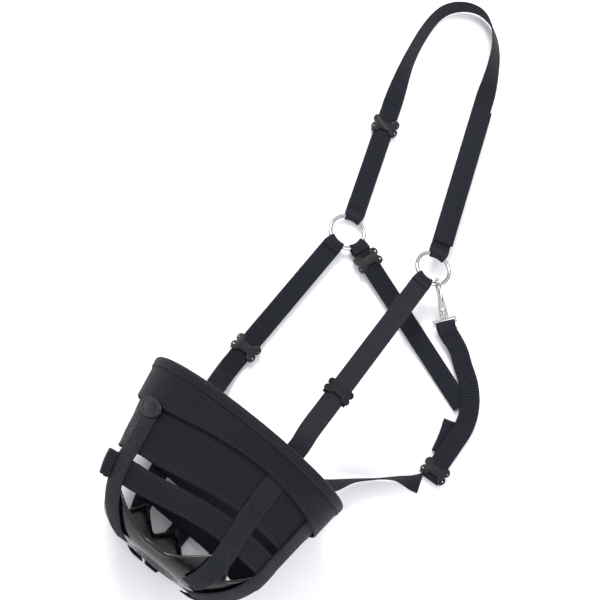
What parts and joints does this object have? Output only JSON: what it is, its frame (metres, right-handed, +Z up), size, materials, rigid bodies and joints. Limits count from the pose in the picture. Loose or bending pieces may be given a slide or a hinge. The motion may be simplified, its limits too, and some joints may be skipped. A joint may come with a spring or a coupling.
{
  "type": "basket muzzle",
  "caption": "Webbing basket muzzle with a rubber feed base, on an adjustable halter with rings, slides, a snap and a breakaway closure.",
  "frame": {"origin": "centre of the footprint on the surface that the muzzle lies on", "axes": "+Y from the basket's base to its mouth and on along the halter, +X from the nose side to the chin side, +Z up from the surface, towards the near side"},
  "size_m": [0.3816, 0.8674, 0.1824],
  "materials": {
    "webbing": "woven, ribbed across",
    "band_cloth": "plain weave",
    "lining_cloth": "soft, brushed",
    "binding_tape": "fine grosgrain",
    "hook_and_loop": "napped",
    "base_rubber": "moulded, glossy",
    "patch_rubber": "moulded, satin",
    "slide_plastic": "moulded, satin",
    "ring_steel": "nickel plated, bright",
    "snap_steel": "nickel plated, bright"
  },
  "bodies": {
    "halter": {"rubber_base": "base_rubber", "upper_band": "band_cloth", "lower_band": "band_cloth", "front_strap": "webbing", "near_side_strap": "webbing", "near_rear_strap": "webbing", "rear_strap": "webbing", "far_rear_strap": "webbing", "far_side_strap": "webbing", "collar": "band_cloth", "collar_lining": "lining_cloth", "rim_binding": "binding_tape", "front_patch": "patch_rubber", "band_end_tab": "band_cloth", "near_cheek_strap": "webbing", "far_cheek_strap": "webbing", "near_cheek_loop": "webbing", "far_cheek_loop": "webbing", "crown_strap": "webbing", "far_crown_loop": "webbing", "near_crown_loop": "webbing", "loop_pad": "hook_and_loop", "throat_strap": "webbing", "throat_loop": "webbing", "snap_strap": "webbing", "snap_strap_loop": "webbing", "chin_link_strap": "webbing", "chin_strap": "webbing", "snap_eye": "snap_steel", "swivel_post": "snap_steel"},
    "near_ring": {"near_ring": "ring_steel"},
    "far_ring": {"far_ring": "ring_steel"},
    "near_cheek_slide": {"near_cheek_slide": "slide_plastic"},
    "far_cheek_slide": {"far_cheek_slide": "slide_plastic"},
    "crown_slide": {"crown_slide": "slide_plastic"},
    "throat_slide": {"throat_slide": "slide_plastic"},
    "chin_slide": {"chin_slide": "slide_plastic"},
    "closure_flap": {"closure_flap": "webbing", "hook_pad": "hook_and_loop"},
    "snap": {"snap_body": "snap_steel", "gate_pin": "snap_steel", "gate_spring": "snap_steel"},
    "gate": {"snap_gate": "snap_steel"}
  },
  "joints": [
    {"name": "near_ring_spin", "type": "hinge", "parent": "halter", "child": "near_ring", "pos_m": [0.017, 0.091, 0.0292], "axis": [0, 0.2588, 0.9659], "continuous": true},
    {"name": "far_ring_spin", "type": "hinge", "parent": "halter", "child": "far_ring", "pos_m": [-0.095, 0.064, 0.0097], "axis": [0, 0.1045, 0.9945], "continuous": true},
    {"name": "near_cheek_slide_travel", "type": "slide", "parent": "halter", "child": "near_cheek_slide", "axis": [0.0065, 0.9166, -0.3998], "range_m": [-0.018, 0.07]},
    {"name": "far_cheek_slide_travel", "type": "slide", "parent": "halter", "child": "far_cheek_slide", "axis": [0.0141, 0.9995, 0.0299], "range_m": [0, 0.06]},
    {"name": "crown_slide_travel", "type": "slide", "parent": "halter", "child": "crown_slide", "axis": [-0.321, 0.947, -0.0093], "range_m": [-0.05, 0.012]},
    {"name": "throat_slide_travel", "type": "slide", "parent": "halter", "child": "throat_slide", "axis": [0.9471, -0.3197, -0.0296], "range_m": [0, 0.05]},
    {"name": "chin_slide_travel", "type": "slide", "parent": "halter", "child": "chin_slide", "axis": [0.0535, -0.9986, 0], "range_m": [-0.008, 0]},
    {"name": "closure_peel", "type": "hinge", "parent": "halter", "child": "closure_flap", "pos_m": [0.00748, 0.12972, 0.02527], "axis": [0.9457, 0.3252, 0], "range_deg": [0, 120]},
    {"name": "snap_swivel", "type": "hinge", "parent": "halter", "child": "snap", "pos_m": [0.0639, 0.05524, 0.01928], "axis": [0.7668, -0.54, -0.3471], "range_deg": [-6, 6]},
    {"name": "gate_hinge", "type": "hinge", "parent": "snap", "child": "gate", "pos_m": [0.0475, 0.06679, 0.03033], "axis": [0.5758, 0.8176, 0], "range_deg": [-9, 0], "stiffness_Nm_per_rad": 0.01, "springref_deg": 5.73}
  ]
}
